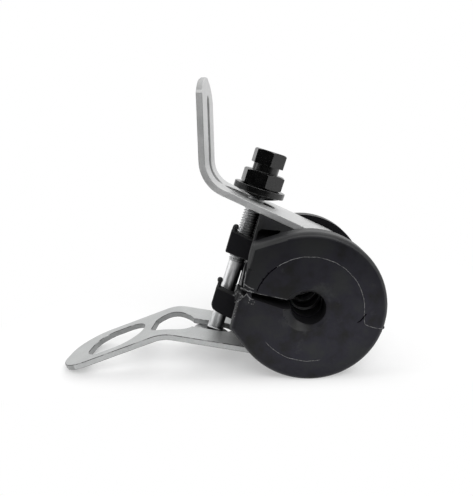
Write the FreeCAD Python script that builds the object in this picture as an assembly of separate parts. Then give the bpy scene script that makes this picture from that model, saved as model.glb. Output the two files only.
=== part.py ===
"""J-hook suspension clamp for an overhead cable. Millimetres, +Z up, +Y along the cable.

The clamp is drawn in a level frame, with X along the slit and Z along the bolt. At the end
every piece is turned by one angle, so that it stands on its two flanges and on the tip of
the lower arm. The origin is the centre of the cable bore.
"""
import FreeCAD, Part
import math
import os

V = FreeCAD.Vector
Y_AXIS = V(0, 1, 0)
ORIGIN = V(0, 0, 0)

# strap, bent from one strip
STRAP_W = 38.0
STRAP_T = 2.75
WRAP_R = 26.25            # inside radius of the wrap around the bushing
ARM_SPREAD = 8.0          # each arm leaves the wrap at this angle to the slit
UPPER_LEN = 52.8          # straight part of the upper arm
HOOK_R = 15.75            # bend up to the upright, on the bushing side
HOOK_TURN = 64.45
UPRIGHT_LEN = 35.3
LOWER_LEN = 56.27         # straight part of the lower arm
KNEE_R = 20.0
KNEE_TURN = 30.5
TOE_LEN = 51.7

# bolt, M8, with a square neck under a cup head
THREAD_D = 8.0
SHANK_D = 7.2
BOLT_X = -34.2
BOLT_LEAN = 0.84
THREAD_LOW = 4.5
BOLT_END = 46.0
POINT_H = 1.0             # height of the bevelled point and of the thread's run-out
NECK_SQ = 8.0
NECK_ROUND = 0.8
NECK_LEN = 4.6
HEAD_D = 20.0
HEAD_H = 4.4
HEAD_RIM = 0.8
HEAD_GAP = 0.05           # between the head's rim and the strap

# openings in the strap, placed along the strap from the end of the wrap
SLOT_SIDE_GAP = 0.5       # each side of the bolt in the upper arm's slot
BOLT_SLOT_LEN = 25.0
BOLT_SLOT_PAST = 15.7     # from the bolt's axis to the slot's outer end
SLOT_BRIDGE = 3.2
UPRIGHT_SLOT_W = 8.0
UPRIGHT_SLOT_LEN = 41.8
NECK_SIDE_GAP = 0.4       # each side of the square neck in the keyhole
KEY_BACK = 8.5            # from the bolt's axis to the keyhole's round end
KEY_HOLE_R = 11.3         # wide end of the keyhole, passes the head
KEY_HOLE_SHIFT = -1.3     # the punched hole sits off the strap's middle, to the near side
KEY_NEAR_EXTRA = 1.2      # the neck is this much wider on the near side
KEY_HOLE_OUT = 21.7       # from the bolt's axis to the wide end's centre
KEY_HOLE_FLAT = 9.8       # from that centre to the straight end
WEB = 5.9                 # bar between the keyhole and the toe window
WINDOW_LEN = 29.0
WINDOW_RIM = 6.2
WINDOW_SHIFT = -0.8
WINDOW_ROUND_IN = 0.984   # corner radius at the inner end, as a share of the half width
WINDOW_ROUND_OUT = 0.766

# outline of the two strap ends
PEAK_DROP = 8.4           # how far the rounded corners of the upright's tip run down
PEAK_MID_DROP = 4.0       # half way round a corner
PEAK_MID_IN = 5.0         # there, in from the strap's edge
PEAK_HALF = 5.2           # half width of the tip above the corners
PEAK_TOP = 0.9
PEAK_TOP_HALF = 2.3
TOE_ROUND = 16.4

# bushing
BUSH_LEN = 60.0
STRAP_SIDE_GAP = 1.0      # between the strap's edge and a flange
FLANGE_R = 32.5
RIM_ROUND = 2.6
HUB_GAP = 0.15            # hub to the strap's wrap
BORE_R = 7.4
LEAD_H = 1.5
SCOOP_H = 3.0
SCOOP_SHIFT = (-1.5, -1.3)
RIB_H = 0.8               # grip ribs in the bore
RIB_W = 1.0
RIB_PITCH = 10.0
RIB_COUNT = 5
JAW_UPPER = (-30.4, 18.6)
JAW_LOWER = (-29.1, -18.9)
JAW_ROUND = 1.6
JAW_RELIEF = ((-33.0, 12.5), (-30.15, 12.5), (-29.1, 6.1), (-28.3, 1.5), (-28.2, -0.8), (-33.0, -0.8))
HUB_INSET = 0.3           # hub face behind the flanges' faces at the jaw
HUB_LOW = ((-28.7, -18.9), (-19.2, -25.8))     # the hub's lower corner stays behind the flanges
HUB_LOW_X = -15.4
SLIT_AT_BORE = (1.9, -3.15)
SLIT_AT_JAW = (0.0, -2.6)
SLIT_MOUTH_X = -24.0
LIP_UPPER = ((-24.3, 0.35), (-29.5, -0.55), (-35.0, -1.5))
LIP_LOWER = ((-35.0, -2.2), (-29.1, -1.7), (-27.2, -3.1), (-26.7, -0.75), (-24.9, -0.35))
TOOTH = ((-28.0, -6.2), (-30.4, -6.1), (-31.6, -2.8), (-31.0, -1.2), (-29.1, -1.6), (-28.0, -2.4))
CREASE_DEPTH = 0.5
CREASES = (((-29.0, 2.7), (-25.0, 1.55), (-25.0, 1.25), (-29.0, 2.3)),     # mould marks at the jaw
           ((-31.0, 9.9), (-26.4, 8.9), (-31.0, 9.0)))
POCKET_DEPTH = 7.0
POCKET = ((-29.2, 17.6), (-29.2, 23.6), (-28.3, 24.9), (-20.3, 26.6), (-20.3, 22.6))
CHANNEL_GAP = 0.5         # round the bolt, along the jaw

# two clips on the jaw that hold the bolt, each with a knob
CLIP_LEN = 16.0
CLIP_GAP = 0.3            # round the bolt
CLIP_MOUTH = 6.0
CLIP_EDGE = 0.45          # bevel along the outer edges
CLIP_ROOT = -27.0
CLIP_UPPER = ((CLIP_ROOT, 16.1), (-40.5, 18.5), (-40.5, 7.9), (CLIP_ROOT, 6.6))
CLIP_LOWER = ((CLIP_ROOT, -11.5), (-39.8, -9.5), (-39.8, -18.4), (-38.6, -20.6),
              (-34.2, -22.0), (CLIP_ROOT, -23.1))
KNOB_Y = -5.4
KNOB_IN = (1.9, 1.4)      # from each clip's outer face
KNOB_LEAN = -10.0
KNOB_TALL = (2.8, 4.45)
KNOB_NECK_R = 0.65
KNOB_HEAD = ((1.1, 2.1), (1.3, 1.6), (1.3, 0.9), (1.05, 0.3), (0.5, 0.0))     # radius, depth

# domed washer and shear nut
SEAT_GAP = 0.65           # washer above the strap, at the bolt's axis
WASHER_D = 23.8
WASHER_H = 2.8
DOME_D = 21.8
DOME_H = 2.75
WASHER_HOLE_D = 8.6
NUT_GAP = 0.1
NUT_AF = 17.5
NUT_H = 6.8
SHEAR_D = 12.0
SHEAR_H = 3.1
DRIVE_AF = 13.6
DRIVE_H = 6.4
NUT_TURN = 41.0
NUT_HOLE_D = 8.1
DRIVE_HOLE_D = 8.6

TINY = 0.01
OVER = 1.0                # how far a cutter runs past what it cuts


def cos(a):
    return math.cos(math.radians(a))


def sin(a):
    return math.sin(math.radians(a))


def point(x, z, y=0.0):
    return V(x, y, z)


def loop(edges):
    return Part.Face(Part.Wire(Part.__sortEdges__(edges)))


def arc(a, b, c):
    return Part.Arc(a, b, c).toShape()


def prism(outline, y0, y1):
    pts = [point(x, z, y0) for x, z in outline]
    return Part.Face(Part.makePolygon(pts + [pts[0]])).extrude(V(0, y1 - y0, 0))


class Arm:
    """One arm of the strap: straight, bend, straight, from the end of the wrap.

    side is 1 for the upper arm and -1 for the lower. Offsets run away from the bushing.
    """

    def __init__(self, side, first, bend_r, turn, last):
        self.side = side
        self.first = first
        self.bend_r = bend_r
        self.turn = turn
        self.bend_end = first + bend_r * math.radians(turn)
        self.total = self.bend_end + last

    def axes(self, share):
        """Normal away from the bushing and direction, after a share of the bend."""
        a = ARM_SPREAD + self.turn * share
        return V(sin(a), 0, self.side * cos(a)), V(-cos(a), 0, self.side * sin(a))

    def frame(self, s):
        """Point on the bushing side, normal away from it and direction, at s."""
        share = (s - self.first) / (self.bend_end - self.first)
        out0, way0 = self.axes(0.0)
        out, way = self.axes(min(max(share, 0.0), 1.0))
        start = out0 * WRAP_R
        if s <= self.first:
            return start + way0 * s, out0, way0
        hinge = start + way0 * self.first + out0 * self.bend_r
        p = hinge - out * self.bend_r
        return p + way * max(0.0, s - self.bend_end), out, way

    def at(self, s, off):
        p, out, way = self.frame(s)
        return p + out * off

    def band(self, s0, s1, low, high, width):
        """Solid between two stations and two offsets, centred on the strap's width."""
        marks = [s0] + [s for s in (self.first, self.bend_end) if s0 < s < s1] + [s1]
        edges = [Part.makeLine(self.at(s, low), self.at(s, high)) for s in (s0, s1)]
        for a, b in zip(marks[:-1], marks[1:]):
            mid = (a + b) / 2
            for off in (low, high):
                if self.first < mid < self.bend_end:
                    edges.append(arc(self.at(a, off), self.at(mid, off), self.at(b, off)))
                else:
                    edges.append(Part.makeLine(self.at(a, off), self.at(b, off)))
        solid = loop(edges).extrude(V(0, width, 0))
        solid.translate(V(0, -width / 2, 0))
        return solid

    def drill(self, s, r):
        p, out, way = self.frame(s)
        return Part.makeCylinder(r, 3 * STRAP_T, p - out * STRAP_T, out)

    def slot(self, s0, s1, width):
        r = width / 2
        cut = self.band(s0 + r, s1 - r, -STRAP_T / 2, 1.5 * STRAP_T, width)
        return cut.fuse([self.drill(s0 + r, r), self.drill(s1 - r, r)])

    def punch(self, s, half_outline):
        """Cutter through the strap, at s. half_outline runs at positive y, from y = 0 to
        y = 0, as (along, across) points, with a middle point for each arc."""
        p, out, way = self.frame(s)
        base = p - out * STRAP_T
        edges = []
        for half in (1, -1):
            for piece in half_outline:
                pts = [base + way * u + Y_AXIS * (v * half) for u, v in piece]
                edges.append(arc(*pts) if len(pts) == 3 else Part.makeLine(*pts))
        return loop(edges).extrude(out * 3 * STRAP_T)


def corner(cx, cy, r, a0, a1):
    """Three points of an arc, for a half outline."""
    return [(cx + r * cos(a), cy + r * sin(a)) for a in (a0, (a0 + a1) / 2, a1)]


UPPER = Arm(1, UPPER_LEN, HOOK_R, HOOK_TURN, UPRIGHT_LEN)
LOWER = Arm(-1, LOWER_LEN, KNEE_R, KNEE_TURN, TOE_LEN)


def bolt_x(z):
    """X of the bolt's axis in the level frame."""
    return BOLT_X + z * math.tan(math.radians(BOLT_LEAN))


def bolt_station(arm):
    """Where the bolt's axis meets an arm, along the arm and in height."""
    z = arm.at(0, 0).z
    for _ in range(8):
        s = (arm.at(0, 0).x - bolt_x(z)) / cos(ARM_SPREAD)
        z = arm.at(s, 0).z
    return s, z


def make_wrap():
    """The part of the strap that goes round the bushing."""
    a = 90 - ARM_SPREAD
    edges = []
    for r in (WRAP_R, WRAP_R + STRAP_T):
        edges.append(arc(*[point(r * cos(t), r * sin(t)) for t in (-a, 0, a)]))
    for t in (-a, a):
        ends = [point(r * cos(t), r * sin(t)) for r in (WRAP_R, WRAP_R + STRAP_T)]
        edges.append(Part.makeLine(*ends))
    wrap = loop(edges).extrude(V(0, STRAP_W, 0))
    wrap.translate(V(0, -STRAP_W / 2, 0))
    return wrap


def upper_openings():
    bolt_s = bolt_station(UPPER)[0]
    out_end = bolt_s + BOLT_SLOT_PAST
    width = THREAD_D + 2 * SLOT_SIDE_GAP
    bolt_slot = UPPER.slot(out_end - BOLT_SLOT_LEN, out_end, width)
    start = out_end + SLOT_BRIDGE
    upright_slot = UPPER.slot(start, start + UPRIGHT_SLOT_LEN, UPRIGHT_SLOT_W)
    return [bolt_slot, upright_slot]


def lower_openings():
    bolt_s = bolt_station(LOWER)[0]
    width = NECK_SQ + 2 * NECK_SIDE_GAP
    back = bolt_s - KEY_BACK + width / 2
    hole = bolt_s + KEY_HOLE_OUT
    hole_end = hole + KEY_HOLE_FLAT
    neck = LOWER.band(back, hole, -STRAP_T / 2, 1.5 * STRAP_T, width + KEY_NEAR_EXTRA)
    neck.translate(V(0, -KEY_NEAR_EXTRA / 2, 0))
    end = LOWER.drill(back, width / 2)
    near_end = end.copy()
    near_end.translate(V(0, -KEY_NEAR_EXTRA, 0))
    reach = LOWER.band(hole - KEY_HOLE_R - OVER, hole_end, -2 * STRAP_T, 3 * STRAP_T, STRAP_W)
    wide = LOWER.drill(hole, KEY_HOLE_R).common(reach)
    wide.translate(V(0, KEY_HOLE_SHIFT, 0))
    h = STRAP_W / 2 - WINDOW_RIM
    r0 = WINDOW_ROUND_IN * h
    r1 = WINDOW_ROUND_OUT * h
    out = WINDOW_LEN
    outline = [[(0, 0), (0, h - r0)], corner(r0, h - r0, r0, 180, 90),
               [(r0, h), (out - r1, h)], corner(out - r1, h - r1, r1, 90, 0),
               [(out, h - r1), (out, 0)]]
    window = LOWER.punch(hole_end + WEB, outline)
    window.translate(V(0, WINDOW_SHIFT, 0))
    return [neck.fuse([end, near_end]), wide, window]


def trim_ends():
    """What is cut away to give the rounded upright tip and the round toe."""
    h = STRAP_W / 2
    wide = h + OVER
    low = -UPRIGHT_LEN / 2
    peak = [[(low, 0), (low, wide)], [(low, wide), (-PEAK_DROP, wide)],
            [(-PEAK_DROP, wide), (-PEAK_DROP, h)],
            [(-PEAK_DROP, h), (-PEAK_MID_DROP, h - PEAK_MID_IN), (-PEAK_TOP, PEAK_HALF)],
            [(-PEAK_TOP, PEAK_HALF), (0, PEAK_TOP_HALF)], [(0, PEAK_TOP_HALF), (0, 0)]]
    tip = UPPER.band(UPPER.total - UPRIGHT_LEN / 2 + OVER, UPPER.total + OVER,
                     -STRAP_T / 2, 1.5 * STRAP_T, STRAP_W + OVER)
    r = TOE_ROUND
    toe = [[(-TOE_LEN / 2, 0), (-TOE_LEN / 2, h)], [(-TOE_LEN / 2, h), (-r, h)],
           corner(-r, h - r, r, 90, 0), [(0, h - r), (0, 0)]]
    end = LOWER.band(LOWER.total - r, LOWER.total + OVER, -STRAP_T / 2, 1.5 * STRAP_T, STRAP_W + OVER)
    return [tip.cut(UPPER.punch(UPPER.total, peak)), end.cut(LOWER.punch(LOWER.total, toe))]


def make_strap():
    upper = UPPER.band(0, UPPER.total, 0, STRAP_T, STRAP_W)
    lower = LOWER.band(0, LOWER.total, 0, STRAP_T, STRAP_W)
    body = make_wrap().fuse([upper, lower]).removeSplitter()
    return body.cut(upper_openings() + lower_openings() + trim_ends())


def flange_face(y):
    """Round flange with two tangent corners at the jaw."""
    ends = []
    for jaw, sign in ((JAW_UPPER, -1), (JAW_LOWER, 1)):
        a = math.degrees(math.atan2(jaw[1], jaw[0])) % 360
        a += sign * math.degrees(math.acos(FLANGE_R / math.hypot(*jaw)))
        ends.append(point(FLANGE_R * cos(a), FLANGE_R * sin(a), y))
    top = point(JAW_UPPER[0], JAW_UPPER[1], y)
    low = point(JAW_LOWER[0], JAW_LOWER[1], y)
    rim = arc(ends[0], V(FLANGE_R, y, 0), ends[1])
    sides = [(ends[1], low), (low, top), (top, ends[0])]
    return loop([rim] + [Part.makeLine(a, b) for a, b in sides])


def hub_half():
    """Half of the space between the flanges, which takes the strap."""
    return STRAP_W / 2 + STRAP_SIDE_GAP


def edges_at(shape, y):
    box = [(e, e.BoundBox) for e in shape.Edges]
    return [e for e, b in box if abs(b.YMin - y) < TINY and abs(b.YMax - y) < TINY]


def make_flange():
    """The flange on the near side, with a rounded rim."""
    y0 = -BUSH_LEN / 2
    y1 = -hub_half()
    slab = flange_face(y0).extrude(V(0, y1 - y0, 0))
    jaw = [e for e in slab.Edges if e.BoundBox.YLength > y1 - y0 - TINY
           and e.BoundBox.XLength < TINY and e.BoundBox.XMax < JAW_LOWER[0] + TINY]
    slab = slab.makeFillet(JAW_ROUND, jaw)
    return slab.makeFillet(RIM_ROUND, edges_at(slab, y0))


def jaw_x(z):
    """X of the flanges' straight face at the jaw."""
    share = (z - JAW_LOWER[1]) / (JAW_UPPER[1] - JAW_LOWER[1])
    return JAW_LOWER[0] + share * (JAW_UPPER[0] - JAW_LOWER[0])


def make_hub():
    """Drum with two wedges that fill the space between the arms, out to the jaw."""
    r = WRAP_R - HUB_GAP
    x = r * sin(ARM_SPREAD)
    z = r * cos(ARM_SPREAD)
    slope = math.tan(math.radians(ARM_SPREAD))
    top_x = jaw_x(z) + HUB_INSET
    outline = [(0, 0), (x, z), (top_x, z + (x - top_x) * slope)] + list(HUB_LOW)
    outline += [(HUB_LOW_X, -z - (x - HUB_LOW_X) * slope), (x, -z)]
    drum = Part.makeCylinder(r, 2 * hub_half(), V(0, -hub_half(), 0), Y_AXIS)
    return drum.fuse(prism(outline, -hub_half(), hub_half()))


def on_bolt(shape):
    """From an upright frame on the bolt's axis to the level frame."""
    shape.rotate(ORIGIN, Y_AXIS, BOLT_LEAN)
    shape.translate(V(BOLT_X, 0, 0))
    return shape


def clip_cutter(outline, bolt_d):
    """Hole for the bolt through a clip, with its narrower mouth."""
    r = bolt_d / 2 + CLIP_GAP
    low = min(z for x, z in outline) - OVER
    height = max(z for x, z in outline) + OVER - low
    mouth = Part.makeBox(2 * r, CLIP_MOUTH, height, V(-2 * r, -CLIP_MOUTH / 2, low))
    return on_bolt(Part.makeCylinder(r, height, V(0, 0, low)).fuse(mouth))


def make_knob(tall):
    """Round-headed pin, turned about Z, with its foot in the clip."""
    head_low = tall - KNOB_HEAD[0][1]
    side = [(0, -OVER), (KNOB_NECK_R, -OVER), (KNOB_NECK_R, head_low)]
    side += [(r, tall - depth) for r, depth in KNOB_HEAD] + [(0, tall)]
    pts = [point(x, z) for x, z in side]
    return Part.Face(Part.makePolygon(pts + [pts[0]])).revolve(ORIGIN, V(0, 0, 1), 360)


def make_clip(outline, knob_in, knob_tall):
    """Snap clip for the bolt, before its hole is cut, with a knob on its near arm."""
    half = CLIP_LEN / 2
    clip = prism(outline, -half, half)
    outer_x = min(x for x, z in outline)
    rims = [e for e in clip.Edges if e.BoundBox.XMax < CLIP_ROOT - TINY or
            (e.BoundBox.YLength < TINY and e.BoundBox.XMin < CLIP_ROOT - TINY)]
    clip = clip.makeChamfer(CLIP_EDGE, rims)
    knob = make_knob(knob_tall)
    knob.rotate(ORIGIN, Y_AXIS, KNOB_LEAN)
    knob.translate(V(outer_x + knob_in, KNOB_Y, max(z for x, z in outline)))
    return clip.fuse(knob)


def bore_cutter():
    """The cable bore, less the grip ribs that stand in it, with its flared ends."""
    y0 = -BUSH_LEN / 2
    cut = Part.makeCylinder(BORE_R, BUSH_LEN + 2 * OVER, V(0, y0 - OVER, 0), Y_AXIS)
    for k in range(RIB_COUNT):
        y = (k - (RIB_COUNT - 1) / 2) * RIB_PITCH - RIB_W / 2
        rib = Part.makeCylinder(BORE_R + OVER, RIB_W, V(0, y, 0), Y_AXIS)
        cut = cut.cut(rib.cut(Part.makeCylinder(BORE_R - RIB_H, RIB_W, V(0, y, 0), Y_AXIS)))
    for side in (-1, 1):
        into = V(0, -side, 0)
        mouth = V(0, side * BUSH_LEN / 2, 0)
        scoop = mouth + V(SCOOP_SHIFT[0], 0, SCOOP_SHIFT[1])
        cut = cut.fuse(Part.makeCone(BORE_R + LEAD_H, BORE_R, LEAD_H, mouth, into))
        cut = cut.fuse(Part.makeCone(BORE_R + SCOOP_H / 2, BORE_R - SCOOP_H / 2, SCOOP_H, scoop, into))
    return cut


def slit_cutter():
    """The slit from the bore to the jaw, with its stepped lips at the mouth."""
    near = -BORE_R + 2 * OVER
    outline = [(near, SLIT_AT_BORE[0]), (SLIT_MOUTH_X, SLIT_AT_JAW[0])] + list(LIP_UPPER + LIP_LOWER)
    outline += [(SLIT_MOUTH_X, SLIT_AT_JAW[1]), (near, SLIT_AT_BORE[1])]
    return prism(outline, -BUSH_LEN / 2 - OVER, BUSH_LEN / 2 + OVER)


def bolt_channel():
    """Groove in the jaw that the bolt lies in, left out where the clips are."""
    r = THREAD_D / 2 + CHANNEL_GAP
    reach = FLANGE_R + 3 * OVER
    groove = on_bolt(Part.makeCylinder(r, 2 * reach, V(0, 0, -reach)))
    for outline in (CLIP_UPPER, CLIP_LOWER):
        top = max(z for x, z in outline)
        low = min(z for x, z in outline)
        keep = Part.makeBox(4 * r, CLIP_LEN, top - low, V(BOLT_X - 2 * r, -CLIP_LEN / 2, low))
        groove = groove.cut(keep)
    return groove


def make_bushing():
    flange = make_flange()
    body = make_hub().fuse([flange, flange.mirror(ORIGIN, Y_AXIS)])
    body = body.cut(prism(JAW_RELIEF, -BUSH_LEN / 2 - OVER, BUSH_LEN / 2 + OVER))
    clips = [make_clip(*parts) for parts in zip((CLIP_UPPER, CLIP_LOWER), KNOB_IN, KNOB_TALL)]
    body = body.fuse(clips)
    cuts = [bore_cutter(), slit_cutter(), bolt_channel()]
    cuts += [clip_cutter(CLIP_UPPER, THREAD_D), clip_cutter(CLIP_LOWER, SHANK_D)]
    for side in (-1, 1):
        cuts.append(prism(POCKET, side * hub_half(), side * (hub_half() - POCKET_DEPTH)))
        face = side * BUSH_LEN / 2
        cuts += [prism(crease, face + side * OVER, face - side * CREASE_DEPTH) for crease in CREASES]
    for cutter in cuts:
        body = body.cut(cutter)
    for side in (-1, 1):
        body = body.fuse(prism(TOOTH, side * hub_half(), side * (BUSH_LEN / 2 - RIM_ROUND)))
    return body


def head_seat():
    """Height of the head's upper face: its rim meets the strap beside the keyhole."""
    half_slot = NECK_SQ / 2 + NECK_SIDE_GAP
    rim = math.sqrt((HEAD_D / 2) ** 2 - half_slot ** 2)
    outer_face = bolt_station(LOWER)[1] - STRAP_T / cos(ARM_SPREAD)
    return outer_face - rim * math.tan(math.radians(ARM_SPREAD + BOLT_LEAN)) - HEAD_GAP


def make_bolt():
    head_top = head_seat()
    neck_top = head_top + NECK_LEN
    r = THREAD_D / 2
    shank_r = SHANK_D / 2
    thread_top = BOLT_END - POINT_H
    thread = Part.makeCylinder(r, thread_top - THREAD_LOW, V(0, 0, THREAD_LOW))
    tip = Part.makeCone(r, r - POINT_H, POINT_H, V(0, 0, thread_top))
    runout = Part.makeCone(shank_r, r, POINT_H, V(0, 0, THREAD_LOW - POINT_H))
    shank = Part.makeCylinder(shank_r, THREAD_LOW - POINT_H - head_top, V(0, 0, head_top))
    neck = Part.makeBox(NECK_SQ, NECK_SQ, neck_top - head_top, V(-NECK_SQ / 2, -NECK_SQ / 2, head_top))
    neck = neck.makeFillet(NECK_ROUND, [e for e in neck.Edges if e.BoundBox.ZLength > TINY])
    rise = HEAD_H - HEAD_RIM
    cup_r = ((HEAD_D / 2) ** 2 + rise ** 2) / (2 * rise)
    cup = Part.makeSphere(cup_r, V(0, 0, head_top - HEAD_H + cup_r))
    head = Part.makeCylinder(HEAD_D / 2, HEAD_H, V(0, 0, head_top - HEAD_H)).common(cup)
    return on_bolt(thread.fuse([tip, runout, shank, neck, head]).removeSplitter())


def strap_top():
    """Height of the upper arm's outside face at the bolt's axis."""
    return bolt_station(UPPER)[1] + STRAP_T / cos(ARM_SPREAD)


def washer_z():
    dome = strap_top() + SEAT_GAP
    return dome, dome + DOME_H, dome + DOME_H + WASHER_H


def make_washer():
    dome_z, disc_z, top_z = washer_z()
    cap_r = ((DOME_D / 2) ** 2 + DOME_H ** 2) / (2 * DOME_H)
    disc = Part.makeCylinder(WASHER_D / 2, WASHER_H, V(0, 0, disc_z))
    cap = Part.makeSphere(cap_r, V(0, 0, dome_z + cap_r))
    dome = Part.makeCylinder(DOME_D / 2, DOME_H + WASHER_H / 2, V(0, 0, dome_z)).common(cap)
    hole = Part.makeCylinder(WASHER_HOLE_D / 2, DOME_H + WASHER_H + 2 * OVER, V(0, 0, dome_z - OVER))
    return on_bolt(disc.fuse(dome).cut(hole))


def hexagon(across_flats, z, height):
    r = across_flats / 2 / cos(30)
    corners = [V(r * cos(NUT_TURN + 60 * k), r * sin(NUT_TURN + 60 * k), z) for k in range(6)]
    return Part.Face(Part.makePolygon(corners + [corners[0]])).extrude(V(0, 0, height))


def make_nut():
    """Shear nut: the upper hexagon snaps off at the round neck when it is tight."""
    z0 = washer_z()[2] + NUT_GAP
    z1 = z0 + NUT_H
    z2 = z1 + SHEAR_H
    body = hexagon(NUT_AF, z0, NUT_H).fuse(hexagon(DRIVE_AF, z2, DRIVE_H))
    body = body.fuse(Part.makeCylinder(SHEAR_D / 2, SHEAR_H, V(0, 0, z1)))
    body = body.cut(Part.makeCylinder(NUT_HOLE_D / 2, NUT_H + 2 * OVER, V(0, 0, z0 - OVER)))
    drive_h = SHEAR_H + DRIVE_H + OVER
    return on_bolt(body.cut(Part.makeCylinder(DRIVE_HOLE_D / 2, drive_h, V(0, 0, z1))))


def rest_tilt():
    """Turn that brings the toe's lower edge down to the floor under the flanges."""
    toe = LOWER.at(LOWER.total, STRAP_T)
    below_slit = math.atan2(-toe.z, -toe.x)
    return math.degrees(below_slit - math.asin(FLANGE_R / math.hypot(toe.x, toe.z)))


def export(name, shape, tilt):
    shape.rotate(ORIGIN, Y_AXIS, tilt)
    print("%s: %d solid, valid %s, %.0f mm3" % (name, len(shape.Solids), shape.isValid(), shape.Volume))
    shape.exportStep("parts/%s.step" % name)


os.makedirs("parts", exist_ok=True)
TILT = rest_tilt()
print("rest tilt %.3f, bolt at %.2f on the upper arm and %.2f on the lower, washer from %.2f" %
      (TILT, bolt_station(UPPER)[0], bolt_station(LOWER)[0], washer_z()[0]))
export("strap", make_strap(), TILT)
export("bushing", make_bushing(), TILT)
export("bolt", make_bolt(), TILT)
export("seat_washer", make_washer(), TILT)
export("shear_nut", make_nut(), TILT)
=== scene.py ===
"""J-hook suspension clamp for an overhead cable, dressed for a studio picture.

The file follows the clamp as it is put together: strap, bushing, mould marks, bolt, washer,
nut, and then the table it stands on, the light and the camera. The clamp's sizes are named in
millimetres, and those of the table, the lamps and the camera in metres.
"""
import math

import bmesh
import bpy
from mathutils import Matrix, Vector


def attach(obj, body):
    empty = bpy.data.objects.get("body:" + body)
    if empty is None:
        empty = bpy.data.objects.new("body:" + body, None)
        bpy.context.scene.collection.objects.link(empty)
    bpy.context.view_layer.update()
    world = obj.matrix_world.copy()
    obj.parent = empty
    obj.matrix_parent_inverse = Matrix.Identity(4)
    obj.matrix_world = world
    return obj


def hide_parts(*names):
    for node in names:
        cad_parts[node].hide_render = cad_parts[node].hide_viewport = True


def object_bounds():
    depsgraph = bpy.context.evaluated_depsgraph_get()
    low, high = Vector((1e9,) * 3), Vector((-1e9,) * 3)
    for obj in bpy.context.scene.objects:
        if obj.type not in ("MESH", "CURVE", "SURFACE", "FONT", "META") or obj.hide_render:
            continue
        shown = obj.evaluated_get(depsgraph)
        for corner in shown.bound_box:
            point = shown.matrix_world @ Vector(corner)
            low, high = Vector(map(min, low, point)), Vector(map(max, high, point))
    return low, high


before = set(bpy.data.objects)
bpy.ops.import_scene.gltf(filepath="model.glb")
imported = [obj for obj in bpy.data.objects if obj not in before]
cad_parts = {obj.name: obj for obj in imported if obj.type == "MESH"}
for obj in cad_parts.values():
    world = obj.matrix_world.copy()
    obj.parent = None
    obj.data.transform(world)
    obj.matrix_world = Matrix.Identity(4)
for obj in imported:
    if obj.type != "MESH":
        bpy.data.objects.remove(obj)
solid_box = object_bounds()
MM = 0.001

# strap
# One strip of hot-dip galvanised steel, sheared, punched and bent round the bushing. The zinc
# is matt, pale and a little cloudy, and the upright's sheared sides are darker. Painted shade
# darkens it low down, in the walls of the holes, on the sloped faces of the upright's tip, in
# patches along the rounded edges, mostly low down, and round the bolt's neck in the keyhole.

STRAP_EDGE = 0.30
EDGE_STEPS = 2
EDGE_SHARP = 30
SAME_SPOT = 0.001
FLAT_WITHIN = 0.4
BODY_CRISP = 28
ZINC_DARK = (0.53, 0.535, 0.535)
ZINC_PALE = (0.64, 0.643, 0.643)
ZINC_METAL = 0.55
ZINC_CLOUDS = (85.0, 4.0, 0.6)
CLOUD_TONES = ((0.3, ZINC_DARK), (0.7, ZINC_PALE))
CLOUD_ROUGH = ((0.25, 0.40), (0.75, 0.50))
CLOUD_BUMP = (0.3, 0.08)
ZINC_GRAIN = (1500.0, 2.0, 0.6)
GRAIN_SHADES = ((0.35, 0.9), (0.65, 1.0))
GRAIN_BUMP = (0.2, 0.02)
CUT_AND_PAINTED_SHADE = (0.62, 0.62, 0.62)
LOW_PAINTED_SHADE = (0.865, 0.875, 0.872)
LOW_SHADE_SPAN = (12.0, -10.0)
ZINC_EDGE_SHADE = (0.10, 0.10, 0.10)
EDGE_SHADE_PATCHES = (240.0, 3.0, 0.6)
EDGE_SHADE_SHARES = ((0.35, 0.15), (0.50, 1.0))
EDGE_SHADE_HIGH_UP = 0.15
KEYHOLE_SHADOW = (0.05, 0.05, 0.05)
KEYHOLE_AT = (-43.5, -17.3)
KEYHOLE_SHADOW_R = (6.6, 5.6)
KEYHOLE_SHADOW_SHARE = 0.85


def new_piece(name, data):
    """An object at the origin that holds a mesh, a lamp or a lens."""
    piece = bpy.data.objects.new(name, data)
    bpy.context.scene.collection.objects.link(piece)
    return piece


def rounded(piece, radius, steps, sharp):
    """Rounds the edges sharper than an angle. The rounds are put in the second slot."""
    bevel = piece.modifiers.new("edge", "BEVEL")
    bevel.width = radius * MM
    bevel.segments = steps
    bevel.limit_method = "ANGLE"
    bevel.angle_limit = math.radians(sharp)
    bevel.material = 1
    return bevel


def softened(node, name, radius, clamp=True):
    """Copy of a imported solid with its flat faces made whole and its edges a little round."""
    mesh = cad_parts[node].data.copy()
    mesh.name = name
    shape = bmesh.new()
    shape.from_mesh(mesh)
    bmesh.ops.remove_doubles(shape, verts=shape.verts, dist=SAME_SPOT * MM)
    bmesh.ops.dissolve_limit(shape, angle_limit=math.radians(FLAT_WITHIN), verts=shape.verts,
                             edges=shape.edges)
    shape.to_mesh(mesh)
    shape.free()
    mesh.materials.clear()
    piece = new_piece(name, mesh)
    bevel = rounded(piece, radius, EDGE_STEPS, EDGE_SHARP)
    bevel.miter_outer = "MITER_ARC"
    bevel.use_clamp_overlap = clamp
    return piece


def bake(piece):
    """Turns what the modifiers make into the piece's own plain mesh."""
    graph = bpy.context.evaluated_depsgraph_get()
    mesh = bpy.data.meshes.new_from_object(piece.evaluated_get(graph), depsgraph=graph)
    piece.modifiers.clear()
    piece.data = mesh
    return mesh


def one_material(mesh, material):
    """Gives every face of a mesh the same material, in the only slot."""
    mesh.polygons.foreach_set("material_index", [0] * len(mesh.polygons))
    mesh.materials.clear()
    mesh.materials.append(material)


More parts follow.
